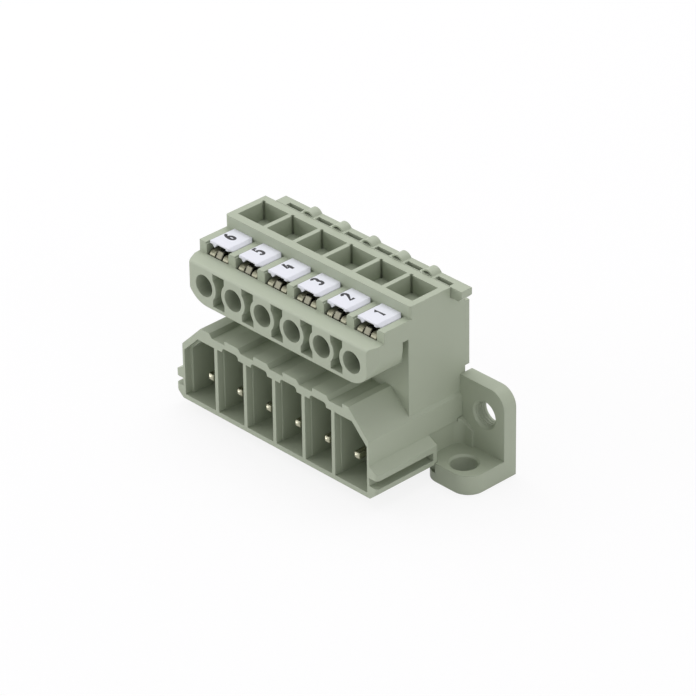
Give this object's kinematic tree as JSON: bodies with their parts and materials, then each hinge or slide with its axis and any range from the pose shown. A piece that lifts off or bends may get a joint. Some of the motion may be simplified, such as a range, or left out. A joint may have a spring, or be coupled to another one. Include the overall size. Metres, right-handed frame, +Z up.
{
  "type": "pluggable terminal block",
  "caption": "Grey moulded terminal block with a row of spring clamp wire entries, a plug header below and L-shaped screw flanges at both ends.",
  "frame": {"origin": "middle of the bounding box seen from above, on the plane the flanges stand on", "axes": "+X along the row towards pole 1, -Y towards the wire entries and the mating plug, +Z up"},
  "size_m": [0.0464, 0.0174, 0.0246],
  "materials": {
    "housing_plastic": "fine satin",
    "cover_plastic": "fine satin",
    "flange_plastic": "fine satin",
    "marker_plastic": "smooth",
    "contact_tin": "bright tin plating",
    "spring_steel": "satin"
  },
  "bodies": {
    "terminal_block": {"housing": "housing_plastic", "rear_cover": "cover_plastic", "mounting_flange_right": "flange_plastic", "mounting_flange_left": "flange_plastic", "marker_1": "marker_plastic", "contact_bar_1": "contact_tin", "spring_seat_1": "spring_steel", "marker_2": "marker_plastic", "contact_bar_2": "contact_tin", "spring_seat_2": "spring_steel", "marker_3": "marker_plastic", "contact_bar_3": "contact_tin", "spring_seat_3": "spring_steel", "marker_4": "marker_plastic", "contact_bar_4": "contact_tin", "spring_seat_4": "spring_steel", "marker_5": "marker_plastic", "contact_bar_5": "contact_tin", "spring_seat_5": "spring_steel", "marker_6": "marker_plastic", "contact_bar_6": "contact_tin", "spring_seat_6": "spring_steel"},
    "moving_leg_1": {"clamp_cage_1": "spring_steel"},
    "moving_leg_2": {"clamp_cage_2": "spring_steel"},
    "moving_leg_3": {"clamp_cage_3": "spring_steel"},
    "moving_leg_4": {"clamp_cage_4": "spring_steel"},
    "moving_leg_5": {"clamp_cage_5": "spring_steel"},
    "moving_leg_6": {"clamp_cage_6": "spring_steel"}
  },
  "joints": [
    {"name": "clamp_open_1", "type": "hinge", "parent": "terminal_block", "child": "moving_leg_1", "pos_m": [0.0127, 0.00278, 0.019], "axis": [1, 0, 0], "range_deg": [0, 19], "stiffness_Nm_per_rad": 0.02, "springref_deg": -8.59},
    {"name": "clamp_open_2", "type": "hinge", "parent": "terminal_block", "child": "moving_leg_2", "pos_m": [0.00762, 0.00278, 0.019], "axis": [1, 0, 0], "range_deg": [0, 19], "stiffness_Nm_per_rad": 0.02, "springref_deg": -8.59},
    {"name": "clamp_open_3", "type": "hinge", "parent": "terminal_block", "child": "moving_leg_3", "pos_m": [0.00254, 0.00278, 0.019], "axis": [1, 0, 0], "range_deg": [0, 19], "stiffness_Nm_per_rad": 0.02, "springref_deg": -8.59},
    {"name": "clamp_open_4", "type": "hinge", "parent": "terminal_block", "child": "moving_leg_4", "pos_m": [-0.00254, 0.00278, 0.019], "axis": [1, 0, 0], "range_deg": [0, 19], "stiffness_Nm_per_rad": 0.02, "springref_deg": -8.59},
    {"name": "clamp_open_5", "type": "hinge", "parent": "terminal_block", "child": "moving_leg_5", "pos_m": [-0.00762, 0.00278, 0.019], "axis": [1, 0, 0], "range_deg": [0, 19], "stiffness_Nm_per_rad": 0.02, "springref_deg": -8.59},
    {"name": "clamp_open_6", "type": "hinge", "parent": "terminal_block", "child": "moving_leg_6", "pos_m": [-0.0127, 0.00278, 0.019], "axis": [1, 0, 0], "range_deg": [0, 19], "stiffness_Nm_per_rad": 0.02, "springref_deg": -8.59}
  ]
}
